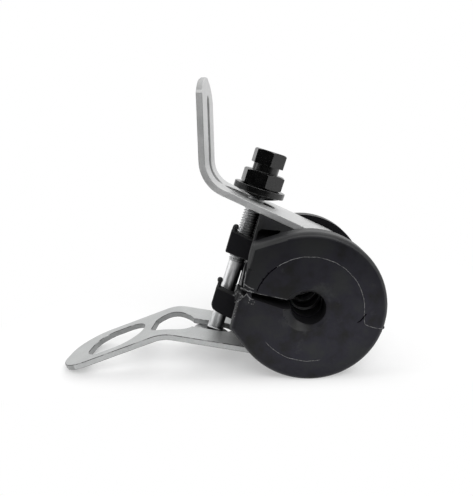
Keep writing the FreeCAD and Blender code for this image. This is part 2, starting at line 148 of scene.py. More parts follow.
def settle(piece, material, crisp=BODY_CRISP):
    """Plain mesh with smooth curves, flat faces and crisp corners, marked along its rounds."""
    while len(piece.data.materials) < 2:
        piece.data.materials.append(None)
    mesh = bake(piece)
    worn = mesh.attributes.new("worn", "FLOAT", "FACE")
    worn.data.foreach_set("value", [float(face.material_index == 1) for face in mesh.polygons])
    one_material(mesh, material)
    mesh.shade_smooth()
    mesh.set_sharp_from_angle(angle=math.radians(crisp))
    weigh = piece.modifiers.new("flat faces", "WEIGHTED_NORMAL")
    weigh.keep_sharp = True
    bake(piece)


def new_material(name):
    material = bpy.data.materials.new(name)
    material.use_nodes = True
    tree = material.node_tree
    shader = tree.nodes["Principled BSDF"]
    coords = tree.nodes.new("ShaderNodeTexCoord")
    return material, tree, shader, coords.outputs["Object"]


def noise(tree, place, scale, detail, rough):
    """A cloudy pattern, whose scale is about the number of clouds in a metre."""
    node = tree.nodes.new("ShaderNodeTexNoise")
    node.inputs["Scale"].default_value = scale
    node.inputs["Detail"].default_value = detail
    node.inputs["Roughness"].default_value = rough
    tree.links.new(place, node.inputs["Vector"])
    return node.outputs["Fac"]


def ramp(tree, value, stops):
    """Colour ramp from (position, colour) stops; a plain number is a grey."""
    node = tree.nodes.new("ShaderNodeValToRGB")
    bar = node.color_ramp
    while len(bar.elements) < len(stops):
        bar.elements.new(0.5)
    for element, (position, colour) in zip(bar.elements, stops):
        element.position = position
        if isinstance(colour, float):
            colour = (colour, colour, colour)
        element.color = (*colour, 1.0)
    tree.links.new(value, node.inputs["Fac"])
    return node.outputs["Color"]


def mix_colour(tree, share, a, b, mode="MIX"):
    """Colour a with a share of b, mixed in or, with MULTIPLY, laid over it as a shade. The
    node's colours go in at sockets 6 and 7 and come out at 2."""
    node = tree.nodes.new("ShaderNodeMix")
    node.data_type = "RGBA"
    node.blend_type = mode
    for socket, value in ((node.inputs[0], share), (node.inputs[6], a), (node.inputs[7], b)):
        if isinstance(value, bpy.types.NodeSocket):
            tree.links.new(value, socket)
        elif isinstance(value, tuple):
            socket.default_value = (*value, 1.0)
        else:
            socket.default_value = value
    return node.outputs[2]


def figure(tree, operation, a, b=0.0):
    """One step of arithmetic with sockets or numbers."""
    node = tree.nodes.new("ShaderNodeMath")
    node.operation = operation
    for socket, value in zip(node.inputs, (a, b)):
        if isinstance(value, bpy.types.NodeSocket):
            tree.links.new(value, socket)
        else:
            socket.default_value = value
    return node.outputs[0]


def axes(tree, place):
    """A place's X, Y and Z, to be read by name."""
    split = tree.nodes.new("ShaderNodeSeparateXYZ")
    tree.links.new(place, split.inputs["Vector"])
    return split.outputs


def distance(tree, *sides):
    """How far off a spot lies, from how far off it lies along two or three axes."""
    squares = [figure(tree, "MULTIPLY", side, side) for side in sides]
    total = squares[0]
    for square in squares[1:]:
        total = figure(tree, "ADD", total, square)
    return figure(tree, "SQRT", total)


def fade(tree, value, start, end):
    """0 at start and 1 at end, in millimetres, and held past them."""
    node = tree.nodes.new("ShaderNodeMapRange")
    node.inputs["From Min"].default_value = start * MM
    node.inputs["From Max"].default_value = end * MM
    tree.links.new(value, node.inputs["Value"])
    return node.outputs["Result"]


def mark(tree, name):
    """A number kept on the mesh."""
    node = tree.nodes.new("ShaderNodeAttribute")
    node.attribute_name = name
    return node.outputs["Fac"]


def bump(tree, shader, height, strength, depth, under=None):
    """Makes a finish uneven, by a depth in millimetres, on top of the bump under it."""
    node = tree.nodes.new("ShaderNodeBump")
    node.inputs["Strength"].default_value = strength
    node.inputs["Distance"].default_value = depth * MM
    tree.links.new(height, node.inputs["Height"])
    if under is not None:
        tree.links.new(under, node.inputs["Normal"])
    tree.links.new(node.outputs["Normal"], shader.inputs["Normal"])
    return node.outputs["Normal"]


def keyhole_dirt(tree, spot):
    """Painted shadow in the keyhole round the bolt's neck, where the gap lies in shade."""
    x = figure(tree, "SUBTRACT", spot["X"], KEYHOLE_AT[0] * MM)
    z = figure(tree, "SUBTRACT", spot["Z"], KEYHOLE_AT[1] * MM)
    out = distance(tree, x, spot["Y"], z)
    return figure(tree, "MULTIPLY", fade(tree, out, *KEYHOLE_SHADOW_R), KEYHOLE_SHADOW_SHARE)


def zinc_dip():
    material, tree, shader, place = new_material("galvanised_steel")
    spot = axes(tree, place)
    cloud = noise(tree, place, *ZINC_CLOUDS)
    grain = noise(tree, place, *ZINC_GRAIN)
    tone = ramp(tree, cloud, CLOUD_TONES)
    tone = mix_colour(tree, 1.0, tone, ramp(tree, grain, GRAIN_SHADES), "MULTIPLY")
    # Painted shade in the walls of the holes and on the tip, and the darker sheared sides of the
    # upright.
    tone = mix_colour(tree, mark(tree, "cut"), tone, CUT_AND_PAINTED_SHADE, "MULTIPLY")
    # Painted shade: darker towards the bottom, where the lower arm gets less light.
    low = fade(tree, spot["Z"], *LOW_SHADE_SPAN)
    tone = mix_colour(tree, low, tone, LOW_PAINTED_SHADE, "MULTIPLY")
    # Painted shade in patches along the rounded edges, mostly on the lower arm.
    patchy = ramp(tree, noise(tree, place, *EDGE_SHADE_PATCHES), EDGE_SHADE_SHARES)
    shade_mask = figure(tree, "MULTIPLY", mark(tree, "worn"), patchy)
    shade_mask = figure(tree, "MULTIPLY", shade_mask, figure(tree, "MAXIMUM", low, EDGE_SHADE_HIGH_UP))
    tone = mix_colour(tree, shade_mask, tone, ZINC_EDGE_SHADE)
    # Painted shadow round the bolt's neck in the keyhole.
    tone = mix_colour(tree, keyhole_dirt(tree, spot), tone, KEYHOLE_SHADOW)
    tree.links.new(tone, shader.inputs["Base Color"])
    tree.links.new(ramp(tree, cloud, CLOUD_ROUGH), shader.inputs["Roughness"])
    shader.inputs["Metallic"].default_value = ZINC_METAL
    under = bump(tree, shader, grain, *GRAIN_BUMP)
    bump(tree, shader, cloud, *CLOUD_BUMP, under)
    return material


def mark_faces(mesh, name, chosen):
    """Face number on a mesh, from what chosen() gives for a face's middle and normal."""
    spots = mesh.attributes.new(name, "FLOAT", "FACE")
    spots.data.foreach_set("value", [float(chosen(f.center / MM, f.normal)) for f in mesh.polygons])


TOE_SHEET = Vector((-0.31, 0.0, 0.95))
ARM_SHEET = Vector((0.33, 0.0, 0.94))
UPRIGHT_SHEET = Vector((1.0, 0.0, 0.0))
TOE_X = -58.0
ARMS_X = -6.0
UPRIGHT_Z = 48.0
WITHIN_EDGES = 17.5
WALL_LEAN = 0.35
SIDE_Z = 62.0
SIDE_ON = 0.9
SIDE_CUT = 0.6


def cut_through(middle, normal):
    """Painted shade in the walls of the holes and on the sloped faces of the upright's tip, and more
    weakly the darker sheared sides of the upright.
    """
    sheet = TOE_SHEET if middle.x < TOE_X else ARM_SHEET
    if middle.z > UPRIGHT_Z:
        sheet = UPRIGHT_SHEET
    between = abs(middle.y) < WITHIN_EDGES and middle.x < ARMS_X
    if between and abs(normal.dot(sheet)) < WALL_LEAN:
        return 1.0
    return SIDE_CUT if middle.z > SIDE_Z and abs(normal.y) > SIDE_ON else 0.0


strap = softened("strap", "strap_band", STRAP_EDGE, clamp=False)
settle(strap, zinc_dip())
mark_faces(strap.data, "cut", cut_through)
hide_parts("strap")
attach(strap, "root")

# bushing
# One moulding of black elastomer: two flanges, a drum between them, the ribbed bore with its
# slit, the jaw and the two bolt clips. It has the dull bloom and fine pits of moulded rubber,
# with pale dust in smears and on the edges. Painted light lies on the tooth, the hub's wedge, the
# rims, the bore's mouth and the lower ribs. Painted shade darkens it outward and towards the upper
# left, and near black painted shade fills the bore and the slit and lies on the clips.

BUSHING_EDGE = 0.3
FLANGE_R = 32.5
FLANGE_FACE = round(solid_box[1][1] / MM, 3)
REST_TILT = math.radians(20.5216)
TILT_COS = math.cos(REST_TILT)
TILT_SIN = math.sin(REST_TILT)
RUBBER_DARK = (0.0030, 0.0028, 0.0028)
RUBBER_BLUE = (0.0108, 0.0100, 0.0185)
RUBBER_GREY = (0.0172, 0.0185, 0.0205)
RUBBER_BLOOM = (62.0, 5.0, 0.62)
BLOOM_TONES = ((0.36, RUBBER_DARK), (0.48, RUBBER_BLUE), (0.60, RUBBER_GREY))
BLOOM_ROUGH = ((0.3, 0.42), (0.7, 0.54))
BLOOM_BUMP = (0.3, 0.2)
RUBBER_PITS = (2300.0, 2.0, 0.5)
PIT_BUMP = (0.25, 0.02)
RUBBER_SHEEN = 0.3
OUTWARD_PAINTED_SHADE = ((0.72, 1.0), (0.92, 0.70))
SLANT_RIGHT = 9.0
SLANT_UP = 16.0
SLANT_MIDDLE = 0.5
SLANT_PAINTED_SHADE = ((0.1, 0.55), (0.75, 1.0))
RUBBER_DUST_AND_LIGHT = (0.048, 0.049, 0.049)
DUST_SMEARS = (95.0, 5.0, 0.7)
SMEAR_SHARES = ((0.60, 0.0), (0.74, 0.45))
DUST_AND_LIGHT_SHARES = ((0.3, 0.3), (0.7, 0.8))
RUBBER_SHADE_BLACK = (0.0006, 0.0004, 0.0018)
SHADE_ROUGH = (0.95, 0.95, 0.95)
RIB_PAINTED_LIGHT = (0.34, 0.34, 0.35)


def moulded_rubber():
    material, tree, shader, place = new_material("black_elastomer")
    spot = axes(tree, place)
    bloom = noise(tree, place, *RUBBER_BLOOM)
    pits = noise(tree, place, *RUBBER_PITS)
    tone = ramp(tree, bloom, BLOOM_TONES)
    # Painted shade: the outer part of the flanges darker.
    out = figure(tree, "DIVIDE", distance(tree, spot["X"], spot["Z"]), FLANGE_R * MM)
    tone = mix_colour(tree, 1.0, tone, ramp(tree, out, OUTWARD_PAINTED_SHADE), "MULTIPLY")
    # Painted shade: darker towards the upper left.
    rightward = figure(tree, "MULTIPLY", spot["X"], SLANT_RIGHT)
    slant = figure(tree, "SUBTRACT", rightward, figure(tree, "MULTIPLY", spot["Z"], SLANT_UP))
    slant = figure(tree, "ADD", slant, SLANT_MIDDLE)
    tone = mix_colour(tree, 1.0, tone, ramp(tree, slant, SLANT_PAINTED_SHADE), "MULTIPLY")
    smear = ramp(tree, noise(tree, place, *DUST_SMEARS), SMEAR_SHARES)
    tone = mix_colour(tree, smear, tone, RUBBER_DUST_AND_LIGHT)
    # Near black painted shade in the bore, the slit and on the clips, where the faces lie in shade.
    black_shade = mark(tree, "black_shade")
    tone = mix_colour(tree, black_shade, tone, RUBBER_SHADE_BLACK)
    # Dust on the rounded edges, and painted light on the tooth, the hub's wedge, the rims and the
    # bore's mouth.
    rubbed = figure(tree, "MAXIMUM", mark(tree, "worn"), mark(tree, "dust_and_light"))
    rubbed = figure(tree, "MULTIPLY", rubbed, ramp(tree, bloom, DUST_AND_LIGHT_SHARES))
    tone = mix_colour(tree, rubbed, tone, RUBBER_DUST_AND_LIGHT)
    # Painted light on the lower half of the inner grip ribs.
    tone = mix_colour(tree, mark(tree, "rubbed_rib"), tone, RIB_PAINTED_LIGHT)
    tree.links.new(tone, shader.inputs["Base Color"])
    rough = mix_colour(tree, black_shade, ramp(tree, bloom, BLOOM_ROUGH), SHADE_ROUGH)
    tree.links.new(rough, shader.inputs["Roughness"])
    shader.inputs["Specular IOR Level"].default_value = RUBBER_SHEEN
    under = bump(tree, shader, pits, *PIT_BUMP)
    bump(tree, shader, bloom, *BLOOM_BUMP, under)
    return material


# Slit, clips, tooth and wedge are placed in the level frame, before the clamp tips onto its
# toe. The dust and painted light on rims and mouth has a share at the middle and what each
# millimetre adds.
FACE_DEPTH = 0.4
MOUTH_DEPTH = 3.0
MOUTH_WITHIN = 10.5
BORE_WITHIN = 8.6
RIB_WITHIN = 7.2
SLIT_X = (-29.0, -4.0)
SLIT_Z = (-3.6, 2.3)
CLIPS_X = -29.5
TOOTH_X = (-31.8, -28.0)
TOOTH_Z = (-6.4, -1.1)
HUB_WEDGE = (-18.0, 22.5)
LIT_RIB_X = -1.0
BORE_SHADE = 0.95
CLIPS_SHADE = 0.7
WEDGE_LIGHT = 0.7
RIM_LIGHT_R = 31.0
RIM_FLAT = 0.96
RIM_DUST_AND_LIGHT = (0.65, 0.018)
RIM_LIGHT_RANGE = (0.3, 1.0)
MOUTH_SLOPE = (0.1, 0.9)
MOUTH_LIGHT = (0.5, -0.06)
MOUTH_LIGHT_RANGE = (0.2, 0.9)
INNER_RIBS_Y = 14.0
MIDDLE_RIB_Y = 5.0
RIB_TOP_Z = 1.0
OUTER_RIB_LIGHT = 0.45


def levelled(middle):
    """From the clamp as it stands to the level frame that it is drawn in, in millimetres."""
    return middle.x * TILT_COS - middle.z * TILT_SIN, middle.x * TILT_SIN + middle.z * TILT_COS


def within(value, span):
    return span[0] < value < span[1]


def sloping(value, slope, span):
    """A share that changes evenly with a place and stays in a range."""
    return min(span[1], max(span[0], slope[0] + slope[1] * value))


def on_tooth(middle):
    """The hooked tooth at the slit's mouth."""
    x, z = levelled(middle)
    return within(x, TOOTH_X) and within(z, TOOTH_Z)


def sheltered(middle, normal):
    """How much near black painted shade a face gets: most in the bore and the slit, and less on the
    clips. The ribs at the bore's upper left are left out, as they catch the light."""
    x, z = levelled(middle)
    out = math.hypot(x, z)
    if abs(middle.y) > FLANGE_FACE - FACE_DEPTH or on_tooth(middle):
        return 0.0
    if out < BORE_WITHIN and abs(middle.y) < FLANGE_FACE - MOUTH_DEPTH:
        lit_rib = out < RIB_WITHIN and x < LIT_RIB_X and z > 0.0
        return 0.0 if lit_rib else BORE_SHADE
    if within(x, SLIT_X) and within(z, SLIT_Z):
        return 1.0
    return CLIPS_SHADE if x < CLIPS_X else 0.0


def dust_and_light(middle, normal):
    """How much pale tone a face gets: painted light on the tooth, the hub's wedge and the bore's
    flared mouth, and dust with a painted highlight on the flanges' rims, more towards the top.
    """
    out = math.hypot(middle.x, middle.z)
    x, z = levelled(middle)
    inside = abs(middle.y) < FLANGE_FACE - MOUTH_DEPTH
    outside = abs(middle.y) > FLANGE_FACE - MOUTH_DEPTH
    if on_tooth(middle):
        return 1.0
    if x < HUB_WEDGE[0] and z > HUB_WEDGE[1] and inside:
        return WEDGE_LIGHT
    if out > RIM_LIGHT_R and abs(normal.y) < RIM_FLAT:
        return sloping(middle.z, RIM_DUST_AND_LIGHT, RIM_LIGHT_RANGE)
    if out < MOUTH_WITHIN and within(abs(normal.y), MOUTH_SLOPE) and outside:
        return sloping(middle.x, MOUTH_LIGHT, MOUTH_LIGHT_RANGE)
    return 0.0


def rubbed_rib(middle, normal):
    """Painted light on the lower half of the inner grip ribs, most on the middle ones."""
    inner = abs(middle.y) <= INNER_RIBS_Y and math.hypot(middle.x, middle.z) <= RIB_WITHIN
    if not inner or middle.z > RIB_TOP_Z:
        return 0.0
    return 1.0 if abs(middle.y) < MIDDLE_RIB_Y else OUTER_RIB_LIGHT


bushing = softened("bushing", "bushing_moulding", BUSHING_EDGE)
settle(bushing, moulded_rubber())
mark_faces(bushing.data, "black_shade", sheltered)
mark_faces(bushing.data, "dust_and_light", dust_and_light)
mark_faces(bushing.data, "rubbed_rib", rubbed_rib)
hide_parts("bushing")
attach(bushing, "root")

# mould marks
# Rubber squeezed out where the mould's plates met: a pale ring on each flange, a seam from the
# ring to a nub at the rim, and fins and torn crumbs along the slit's mouth and the jaw. They stand
# about 0.2 mm proud of the bushing. Near black fins and crumbs along one stretch of the ring and
# of the seam are their painted shadow.

# Lines are (x, z) points in the level frame, and those over the rim have a third number, how
# far they lie behind the face. Angles go round the ring in degrees.
RING_CENTRE = (0.0, -0.4)
RING_R = 22.85
RING_STEPS = 60
RING_ARCS = ((152.0, 95.0), (98.0, 8.0), (-57.0, -126.0))
RING_SHADOW = (178.0, 141.0)
SEAM = ((22.6, 4.2), (23.3, 2.2), (24.0, 1.1), (26.2, 0.55), (28.2, 0.65), (29.8, 0.8))
SEAM_RIM = ((29.8, 0.8, 0.0), (30.9, 0.95, 0.2), (31.75, 1.05, 0.8), (32.3, 1.1, 1.7))
SEAM_SHADOW = ((22.9, 5.0), (22.3, 3.2), (21.8, 1.6), (21.0, 0.8))
SLIT_LIP = ((-9.3, 1.55), (-14.0, 1.05), (-19.0, 0.55), (-24.2, 0.15))
MOUTH_LIP = ((-24.2, 0.35), (-26.5, 0.25), (-28.6, 0.45), (-29.2, 0.9))
MOUTH_CREASE = ((-24.0, 1.5), (-26.4, 1.9), (-28.8, 2.6))
JAW_EDGE = ((-28.6, 1.2), (-29.0, 4.0), (-29.6, 8.2))
LOW_LIP = ((-23.0, -2.6), (-24.4, -2.75), (-25.6, -2.2), (-26.6, -1.0), (-27.4, -2.9), (-28.6, -2.2))
TORN_TOOTH = ((-31.2, -3.4), (-30.3, -1.5), (-28.9, -1.7), (-28.1, -3.0), (-28.6, -5.0), (-30.2, -5.8))
TORN_FLAP = ((-24.6, -3.1), (-22.8, -3.2), (-22.4, -4.2), (-23.6, -4.9), (-24.9, -4.2), (-24.6, -3.1))
TORN_JAW = ((-29.0, -7.6), (-28.9, -10.6), (-28.8, -13.3))
FIN_SINK = 0.04
CRUMB_SINK = 0.08
NUB_AT = (32.2, 1.1, 2.2)
NUB_SIZE = (0.75, 0.55, 0.85)
FIN_DARK = 0.05
FIN_PALE = (0.19, 0.193, 0.195)
FIN_GRAIN = (900.0, 2.0, 0.6)
FIN_TONES = ((0.35, FIN_DARK), (0.65, FIN_PALE))
FIN_ROUGH = 0.6
SHADOW_FIN_ROUGH = 0.9
SHADOW_FIN_SHEEN = 0.05


def pale_fin():
    material, tree, shader, place = new_material("mould_fin")
    tone = ramp(tree, noise(tree, place, *FIN_GRAIN), FIN_TONES)
    tree.links.new(tone, shader.inputs["Base Color"])
    shader.inputs["Roughness"].default_value = FIN_ROUGH
    return material


# Near black fins and crumbs laid beside the pale ring and seam as their painted shadow.
def dark_crack():
    material, _, shader, _ = new_material("mould_crack")
    shader.inputs["Base Color"].default_value = (*RUBBER_SHADE_BLACK, 1.0)
    shader.inputs["Roughness"].default_value = SHADOW_FIN_ROUGH
    shader.inputs["Specular IOR Level"].default_value = SHADOW_FIN_SHEEN
    return material


class Wiring:
    """A geometry node tree with named inputs."""

    def __init__(self, name, sizes):
        self.tree = bpy.data.node_groups.new(name, "GeometryNodeTree")
        face = self.tree.interface
        face.new_socket("Geometry", in_out="OUTPUT", socket_type="NodeSocketGeometry")
        face.new_socket("Geometry", in_out="INPUT", socket_type="NodeSocketGeometry")
        for label, kind in (*sizes, ("Material", "Material")):
            face.new_socket(label, in_out="INPUT", socket_type="NodeSocket" + kind)
        self.given = self.tree.nodes.new("NodeGroupInput").outputs

    def node(self, kind, settings=(), **values):
        """A node with its settings made and its inputs fed by name."""
        node = self.tree.nodes.new(kind)
        for key, value in settings:
            setattr(node, key, value)
        for key, value in values.items():
            self.feed(node.inputs[key.replace("_", " ")], value)
        return node

    def feed(self, socket, value):
        """Links a socket to another one, or sets its value."""
        if isinstance(value, bpy.types.NodeSocket):
            self.tree.links.new(value, socket)
        else:
            socket.default_value = value

    def sum(self, operation, *values):
        """One step of arithmetic with numbers."""
        node = self.tree.nodes.new("ShaderNodeMath")
        node.operation = operation
        for socket, value in zip(node.inputs, values):
            self.feed(socket, value)
        return node.outputs[0]

    def vector(self, operation, first, second):
        """One step with vectors. SCALE takes a number as its second value."""
        node = self.tree.nodes.new("ShaderNodeVectorMath")
        node.operation = operation
        self.feed(node.inputs[0], first)
        self.feed(node.inputs["Scale" if operation == "SCALE" else 1], second)
        return node.outputs[0]

    def choose(self, case, *options):
        """The option whose number is case."""
        node = self.tree.nodes.new("GeometryNodeIndexSwitch")
        node.data_type = "FLOAT"
        while len(node.index_switch_items) < len(options):
            node.index_switch_items.new()
        self.feed(node.inputs["Index"], case)
        for number, value in enumerate(options):
            self.feed(node.inputs[str(number)], value)
        return node.outputs[0]

    def finish(self, geometry):
        """Makes the result real and gives it the piece's material."""
        real = self.node("GeometryNodeRealizeInstances", Geometry=geometry)
        paint = self.node("GeometryNodeSetMaterial", Geometry=real.outputs[0],
                          Material=self.given["Material"])
        out = self.tree.nodes.new("NodeGroupOutput")
        self.tree.links.new(paint.outputs[0], out.inputs[0])

    def make(self, piece, **values):
        """The tree as a modifier on a piece, with its inputs set, baked into its mesh."""
        modifier = piece.modifiers.new(self.tree.name, "NODES")
        modifier.node_group = self.tree
        for item in self.tree.interface.items_tree:
            key = item.name.replace(" ", "_")
            if item.in_out == "INPUT" and key in values:
                modifier[item.identifier] = values[key]
        mesh = bake(piece)
        one_material(mesh, values["Material"])
        return mesh


FIN_STEP = 0.35
NOISE_MIDDLE = (0.5, 0.5, 0.5)
ALONG_FACE = (1.0, 0.0, 1.0)
FIN_WANDER = {"Scale": 420.0, "Detail": 2.0}
FIN_PATCHES = {"Scale": 330.0, "Detail": 4.0}
PATCH_SEED_ON = 7.0
GAP_FADE = 0.16
END_TAPER = 14.0
FIN_THINNEST = 0.04
FIN_SIDES = 6


def fin_tree():
    """Follows the edges of a mesh with a thin, wavering, fading fin."""
    wires = Wiring("mould fin", (("Fin Radius", "Float"), ("Waver", "Float"), ("Gaps", "Float"),
                                 ("Seed", "Float")))
    given = wires.given
    in_4d = (("noise_dimensions", "4D"),)
    curve = wires.node("GeometryNodeMeshToCurve", Mesh=given["Geometry"])
    fine = wires.node("GeometryNodeResampleCurve", (("mode", "LENGTH"),), Curve=curve.outputs[0],
                      Length=FIN_STEP * MM)
    place = wires.node("GeometryNodeInputPosition").outputs[0]
    wander = wires.node("ShaderNodeTexNoise", in_4d, Vector=place, W=given["Seed"], **FIN_WANDER)
    shift = wires.vector("SUBTRACT", wander.outputs["Color"], NOISE_MIDDLE)
    shift = wires.vector("MULTIPLY", shift, ALONG_FACE)
    shift = wires.vector("SCALE", shift, given["Waver"])
    moved = wires.node("GeometryNodeSetPosition", Geometry=fine.outputs[0], Offset=shift)
    patch = wires.node("ShaderNodeTexNoise", in_4d, Vector=place,
                       W=wires.sum("ADD", given["Seed"], PATCH_SEED_ON), **FIN_PATCHES)
    share = wires.node("ShaderNodeMapRange", Value=patch.outputs["Fac"], From_Min=given["Gaps"],
                       From_Max=wires.sum("ADD", given["Gaps"], GAP_FADE))
    along = wires.node("GeometryNodeSplineParameter").outputs["Factor"]
    ends = wires.sum("MINIMUM", along, wires.sum("SUBTRACT", 1.0, along))
    ends = wires.sum("MINIMUM", wires.sum("MULTIPLY", ends, END_TAPER), 1.0)
    size = wires.sum("MULTIPLY", ends, share.outputs["Result"])
    size = wires.sum("MULTIPLY", wires.sum("MAXIMUM", size, FIN_THINNEST), given["Fin Radius"])
    section = wires.node("GeometryNodeCurvePrimitiveCircle", Resolution=FIN_SIDES, Radius=1.0)
    swept = wires.node("GeometryNodeCurveToMesh", Curve=moved.outputs[0], Scale=size,
                       Profile_Curve=section.outputs[0], Fill_Caps=True)
    wires.finish(swept.outputs[0])
    return wires


CRUMB_THROW = (1.0, 0.2, 1.0)
CRUMB_SMALL = (0.4, 0.4, 0.4)
CRUMB_LARGE = (1.5, 0.6, 1.1)
CRUMB_TURN = (0.0, 6.28, 0.0)


def crumb_tree():
    """Strews small torn crumbs of rubber along the edges of a mesh."""
    wires = Wiring("torn flash", (("Spacing", "Float"), ("Crumb Radius", "Float"),
                                  ("Strew", "Float"), ("Seed", "Int")))
    given = wires.given
    curve = wires.node("GeometryNodeMeshToCurve", Mesh=given["Geometry"])
    points = wires.node("GeometryNodeCurveToPoints", (("mode", "LENGTH"),), Curve=curve.outputs[0],
                        Length=given["Spacing"])

    def chance(low, high, seed_on):
        node = wires.node("FunctionNodeRandomValue", (("data_type", "FLOAT_VECTOR"),), Min=low,
                          Max=high, Seed=wires.sum("ADD", given["Seed"], seed_on))
        return node.outputs[0]

    back = tuple(-reach for reach in CRUMB_THROW)
    thrown = wires.vector("SCALE", chance(back, CRUMB_THROW, 0), given["Strew"])
    moved = wires.node("GeometryNodeSetPosition", Geometry=points.outputs[0], Offset=thrown)
    crumb = wires.node("GeometryNodeMeshIcoSphere", Radius=given["Crumb Radius"], Subdivisions=2)
    strewn = wires.node("GeometryNodeInstanceOnPoints", Points=moved.outputs[0],
                        Instance=crumb.outputs[0], Scale=chance(CRUMB_SMALL, CRUMB_LARGE, 1),
                        Rotation=chance((0.0, 0.0, 0.0), CRUMB_TURN, 2))
    wires.finish(strewn.outputs[0])
    return wires


def turned(x, z, y):
    """From the level frame, in millimetres, to the clamp as it stands."""
    return Vector((x * TILT_COS + z * TILT_SIN, y, z * TILT_COS - x * TILT_SIN)) * MM


def ring_path(start, end, y):
    """An arc of the ring between two angles."""
    turns = [math.radians(start + (end - start) * k / RING_STEPS) for k in range(RING_STEPS + 1)]
    return [turned(RING_CENTRE[0] + RING_R * math.cos(a), RING_CENTRE[1] + RING_R * math.sin(a), y)
            for a in turns]


def face_path(points, y):
    """A line on a flange's face."""
    return [turned(x, z, y) for x, z in points]


def rim_path(y):
    """The end of the seam, over the flange's rounded rim."""
    return [turned(x, z, math.copysign(FLANGE_FACE - back, y)) for x, z, back in SEAM_RIM]


def path_mesh(name, paths):
    """A piece with bare edges along each path."""
    mesh = bpy.data.meshes.new(name)
    points = [point for path in paths for point in path]
    edges = []
    start = 0
    for path in paths:
        edges += [(start + k, start + k + 1) for k in range(len(path) - 1)]
        start += len(path)
    mesh.from_pydata(points, edges, [])
    return new_piece(name, mesh)


def nub_piece(y):
    """The pip where the seam leaves the rim."""
    shape = bmesh.new()
    spot = turned(NUB_AT[0], NUB_AT[1], math.copysign(FLANGE_FACE - NUB_AT[2], y))
    stretch = Matrix.Diagonal((*(size * MM for size in NUB_SIZE), 1.0))
    place = Matrix.Translation(spot) @ Matrix.Rotation(REST_TILT, 4, "Y") @ stretch
    bmesh.ops.create_icosphere(shape, subdivisions=3, radius=1.0, matrix=place)
    mesh = bpy.data.meshes.new("mould_nub")
    shape.to_mesh(mesh)
    shape.free()
    mesh.materials.append(bushing.data.materials[0])
    return new_piece("mould_nub", mesh)


FIN = pale_fin()
SHADOW_FIN = dark_crack()
fins = fin_tree()
crumbs = crumb_tree()
near = FIN_SINK - FLANGE_FACE
far = FLANGE_FACE - FIN_SINK
low_near = CRUMB_SINK - FLANGE_FACE
pale_paths = [ring_path(start, end, y) for start, end in RING_ARCS for y in (near, far)]
pale_paths += [face_path(SEAM, y) for y in (near, far)] + [rim_path(y) for y in (near, far)]
# Painted shadow: dark fins and crumbs along one stretch of the ring and the seam.
shadow_paths = [ring_path(*RING_SHADOW, y) for y in (near, far)] + [face_path(SEAM_SHADOW, near)]
shadow_crumb_paths = [ring_path(*RING_SHADOW, low_near), face_path(SEAM_SHADOW, low_near)]
lip_paths = [face_path(line, near) for line in (MOUTH_LIP, MOUTH_CREASE, JAW_EDGE, LOW_LIP)]
torn_paths = [face_path(line, low_near) for line in (TORN_TOOTH, TORN_FLAP, MOUTH_LIP)]
rings = path_mesh("mould_rings", pale_paths)
fins.make(rings, Fin_Radius=0.15 * MM, Waver=0.6 * MM, Gaps=0.28, Seed=3.0, Material=FIN)
shadow_fins = path_mesh("mould_cracks", shadow_paths)
fins.make(shadow_fins, Fin_Radius=0.24 * MM, Waver=0.6 * MM, Gaps=0.20, Seed=5.0, Material=SHADOW_FIN)
shadow_crumbs = path_mesh("mould_blots", shadow_crumb_paths)
crumbs.make(shadow_crumbs, Spacing=1.5 * MM, Crumb_Radius=0.42 * MM, Strew=0.2 * MM, Seed=4, Material=SHADOW_FIN)
slit_lip = path_mesh("mould_slit_lip", [face_path(SLIT_LIP, near)])
fins.make(slit_lip, Fin_Radius=0.15 * MM, Waver=0.3 * MM, Gaps=0.42, Seed=14.0, Material=FIN)
lips = path_mesh("mould_lips", lip_paths)
fins.make(lips, Fin_Radius=0.24 * MM, Waver=0.6 * MM, Gaps=0.26, Seed=11.0, Material=FIN)
torn = path_mesh("mould_torn", torn_paths)
crumbs.make(torn, Spacing=0.55 * MM, Crumb_Radius=0.34 * MM, Strew=0.35 * MM, Seed=8, Material=FIN)
torn_jaw = path_mesh("mould_torn_jaw", [face_path(TORN_JAW, low_near)])
crumbs.make(torn_jaw, Spacing=1.1 * MM, Crumb_Radius=0.28 * MM, Strew=0.3 * MM, Seed=9, Material=FIN)
nubs = [nub_piece(y) for y in (near, far)]
for piece in [rings, shadow_fins, shadow_crumbs, slit_lip, lips, torn, torn_jaw] + nubs:
    piece.data.shade_smooth()
    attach(piece, "root")

# bolt
# A zinc-plated M8 bolt: rolled right-hand thread with a bevelled point, a shank of the pitch
# diameter, a square neck that sits in the keyhole and a cup head under the strap. Painted shade
# darkens its side towards the rubber and its thread grooves, and a painted shadow lies at the
# foot of its neck.

# Places and heights are in the level frame, from the centre of the bore.
BOLT_X = -34.2
BOLT_LEAN = math.radians(0.84)
PITCH = 1.25
CREST_R = 4.0
ROOT_R = 3.32
SHANK_R = 3.6
POINT_R = 3.05
THREAD_LOW = 3.5
BOLT_TOP = 46.0
THREAD_COLUMNS = 48
THREAD_SHARES = (0.0, 0.125, 0.4375, 0.6875)
TURN_ROWS = 4.0
FOOT_ROWS = 2.0
TOP_ROWS = 1.0
SPARE_TURNS = 3
SEAT_Z = -35.6
SHANK_SINK = 0.5
NECK_SQ = 8.0
NECK_LEN = 4.6
NECK_SINK = 1.0
NECK_ROUND = 0.7
HEAD_R = 10.0
HEAD_H = 4.4
HEAD_RIM = 0.8
HEAD_EDGE = 0.2
CROWN_STEPS = 9
CROWN_SHARE = 0.985
HEAD_SIDES = 64
BOLT_CRISP = 32
WELD = 0.002
CLOSE_UP = 0.0005
PLATE_CLOUDS = (260.0, 3.0, 0.6)
PLATE_TONES = ((0.3, (0.60, 0.61, 0.62)), (0.7, (0.72, 0.72, 0.72)))
PLATE_ROUGH = ((0.3, 0.42), (0.7, 0.50))
PLATE_METAL = 0.95
ZINC_PAINTED_SHADE = (0.05, 0.05, 0.052)
